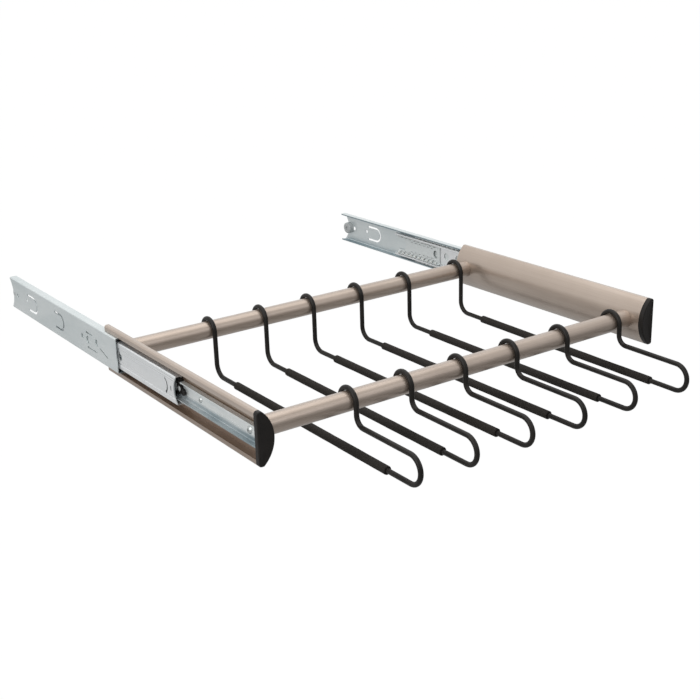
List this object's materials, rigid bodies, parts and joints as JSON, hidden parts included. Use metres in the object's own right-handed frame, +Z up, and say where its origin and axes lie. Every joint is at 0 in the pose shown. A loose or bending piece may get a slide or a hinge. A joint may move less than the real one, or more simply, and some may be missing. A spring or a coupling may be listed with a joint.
{
  "type": "pull out trouser rack",
  "caption": "Pull-out rack for a wardrobe: side rails on ball-bearing runners joined by cross tubes that carry sliding wire trouser hangers.",
  "frame": {"origin": "midpoint of the left runner's two fixing holes, on the cabinet's left wall face", "axes": "+X across the cabinet to the right wall, +Y into the cabinet, +Z up; the rack pulls out along -Y"},
  "size_m": [0.587, 0.768, 0.092],
  "materials": {
    "cabinet_zinc": "zinc-plated steel sheet, satin",
    "intermediate_zinc": "zinc-plated steel sheet, bright",
    "inner_zinc": "zinc-plated steel sheet, bright",
    "cage_zinc": "zinc-plated thin sheet",
    "ball_steel": "polished steel",
    "bumper_rubber": "matt grey",
    "lever_plastic": "moulded, satin",
    "screw_zinc": "zinc-plated",
    "rail_anodised": "champagne anodised, satin",
    "tube_anodised": "champagne anodised, satin",
    "cap_plastic": "moulded, satin",
    "plug_plastic": "moulded",
    "wire_coating": "black powder coat, satin",
    "sleeve_rubber": "anti-slip rubber, matt, grainy"
  },
  "bodies": {
    "cabinet_runners": {"left_cabinet_member": "cabinet_zinc", "right_cabinet_member": "cabinet_zinc", "left_rear_bumper": "bumper_rubber", "right_rear_bumper": "bumper_rubber"},
    "rack": {"left_inner_member": "inner_zinc", "left_lever_rivet": "screw_zinc", "left_side_rail": "rail_anodised", "left_end_cap": "cap_plastic", "left_member_screws": "screw_zinc", "right_inner_member": "inner_zinc", "right_lever_rivet": "screw_zinc", "right_side_rail": "rail_anodised", "right_end_cap": "cap_plastic", "right_member_screws": "screw_zinc", "front_tube": "tube_anodised", "rear_tube": "tube_anodised", "tube_plugs": "plug_plastic", "tube_screws": "screw_zinc"},
    "left_intermediate": {"left_intermediate_member": "intermediate_zinc", "left_inner_ball_cage": "cage_zinc", "left_inner_balls": "ball_steel"},
    "left_outer_cage": {"left_outer_ball_cage": "cage_zinc", "left_outer_balls": "ball_steel"},
    "left_lever": {"left_release_lever": "lever_plastic"},
    "right_intermediate": {"right_intermediate_member": "intermediate_zinc", "right_inner_ball_cage": "cage_zinc", "right_inner_balls": "ball_steel"},
    "right_outer_cage": {"right_outer_ball_cage": "cage_zinc", "right_outer_balls": "ball_steel"},
    "right_lever": {"right_release_lever": "lever_plastic"},
    "hanger_1": {"hanger_wire_1": "wire_coating", "hanger_sleeve_1": "sleeve_rubber"},
    "hanger_2": {"hanger_wire_2": "wire_coating", "hanger_sleeve_2": "sleeve_rubber"},
    "hanger_3": {"hanger_wire_3": "wire_coating", "hanger_sleeve_3": "sleeve_rubber"},
    "hanger_4": {"hanger_wire_4": "wire_coating", "hanger_sleeve_4": "sleeve_rubber"},
    "hanger_5": {"hanger_wire_5": "wire_coating", "hanger_sleeve_5": "sleeve_rubber"},
    "hanger_6": {"hanger_wire_6": "wire_coating", "hanger_sleeve_6": "sleeve_rubber"}
  },
  "joints": [
    {"name": "rack_slide", "type": "slide", "parent": "cabinet_runners", "child": "rack", "axis": [0, -1, 0], "range_m": [-0.312, 0.036]},
    {"name": "left_intermediate_slide", "type": "slide", "parent": "cabinet_runners", "child": "left_intermediate", "axis": [0, -1, 0], "range_m": [-0.1485, 0.018]},
    {"name": "left_outer_cage_slide", "type": "slide", "parent": "cabinet_runners", "child": "left_outer_cage", "axis": [0, -1, 0], "range_m": [-0.075, 0.0095]},
    {"name": "left_lever_pivot", "type": "hinge", "parent": "rack", "child": "left_lever", "pos_m": [0.01, -0.357, 0.001], "axis": [1, 0, 0], "range_deg": [-8, 0], "stiffness_Nm_per_rad": 0.05},
    {"name": "right_intermediate_slide", "type": "slide", "parent": "cabinet_runners", "child": "right_intermediate", "axis": [0, -1, 0], "range_m": [-0.1485, 0.018]},
    {"name": "right_outer_cage_slide", "type": "slide", "parent": "cabinet_runners", "child": "right_outer_cage", "axis": [0, -1, 0], "range_m": [-0.075, 0.0095]},
    {"name": "right_lever_pivot", "type": "hinge", "parent": "rack", "child": "right_lever", "pos_m": [0.577, -0.357, 0.001], "axis": [1, 0, 0], "range_deg": [-8, 0], "stiffness_Nm_per_rad": 0.05},
    {"name": "hanger_1_slide", "type": "slide", "parent": "rack", "child": "hanger_1", "axis": [1, 0, 0], "range_m": [-0.092, 0.03]},
    {"name": "hanger_2_slide", "type": "slide", "parent": "rack", "child": "hanger_2", "axis": [1, 0, 0], "range_m": [-0.03, 0.03]},
    {"name": "hanger_3_slide", "type": "slide", "parent": "rack", "child": "hanger_3", "axis": [1, 0, 0], "range_m": [-0.03, 0.03]},
    {"name": "hanger_4_slide", "type": "slide", "parent": "rack", "child": "hanger_4", "axis": [1, 0, 0], "range_m": [-0.03, 0.03]},
    {"name": "hanger_5_slide", "type": "slide", "parent": "rack", "child": "hanger_5", "axis": [1, 0, 0], "range_m": [-0.03, 0.03]},
    {"name": "hanger_6_slide", "type": "slide", "parent": "rack", "child": "hanger_6", "axis": [1, 0, 0], "range_m": [-0.03, 0.013]}
  ],
  "couplings": [
    {"joint": "left_intermediate_slide", "follows": "rack_slide", "ratio": 0.4728},
    {"joint": "left_outer_cage_slide", "follows": "rack_slide", "ratio": 0.2364},
    {"joint": "right_intermediate_slide", "follows": "rack_slide", "ratio": 0.4728},
    {"joint": "right_outer_cage_slide", "follows": "rack_slide", "ratio": 0.2364}
  ]
}
